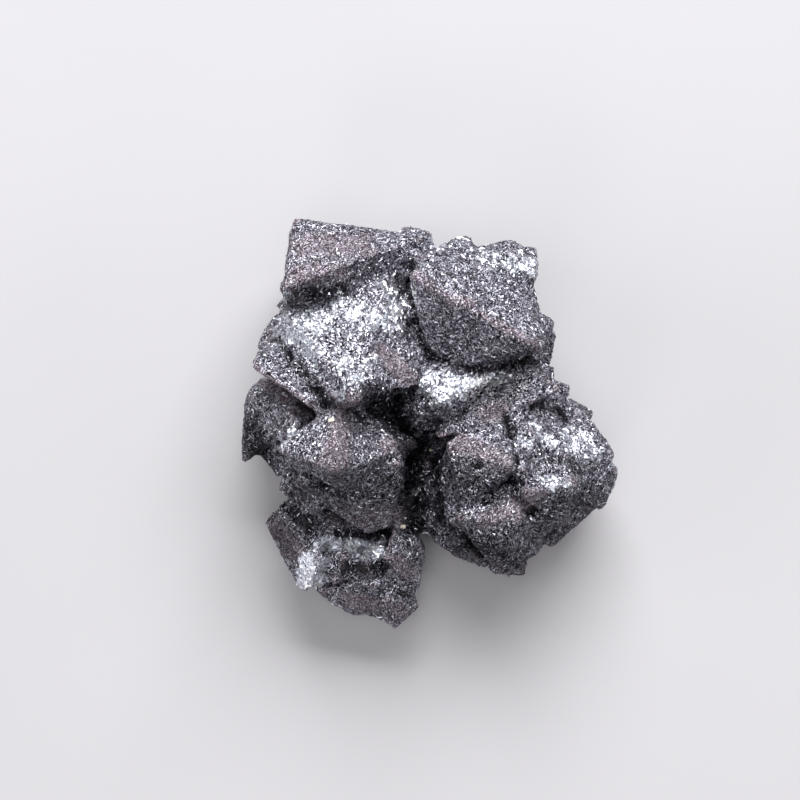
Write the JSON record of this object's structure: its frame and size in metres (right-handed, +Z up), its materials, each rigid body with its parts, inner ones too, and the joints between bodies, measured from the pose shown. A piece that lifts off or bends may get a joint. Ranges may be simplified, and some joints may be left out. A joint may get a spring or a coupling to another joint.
{
  "type": "hematite pseudomorph",
  "caption": "Hand specimen of hematite after magnetite: intergrown octahedral crystals with worn edges and a glittering platy skin, lying on its broken back",
  "frame": {"origin": "middle of the bounding box in X and Y, on the surface the stone rests on", "axes": "+Z up from the broken back towards the crystals of the show side; +Y towards the end with the two largest crystals; +X to the right of the show side seen from above"},
  "size_m": [0.0374, 0.0406, 0.0196],
  "materials": {
    "hematite": "dark grey to steel-grey metallic iron oxide, glittering with tiny platelets, matte purple-brown on worn ridges"
  },
  "bodies": {
    "root": {"crystal_cluster": "hematite"}
  },
  "joints": []
}
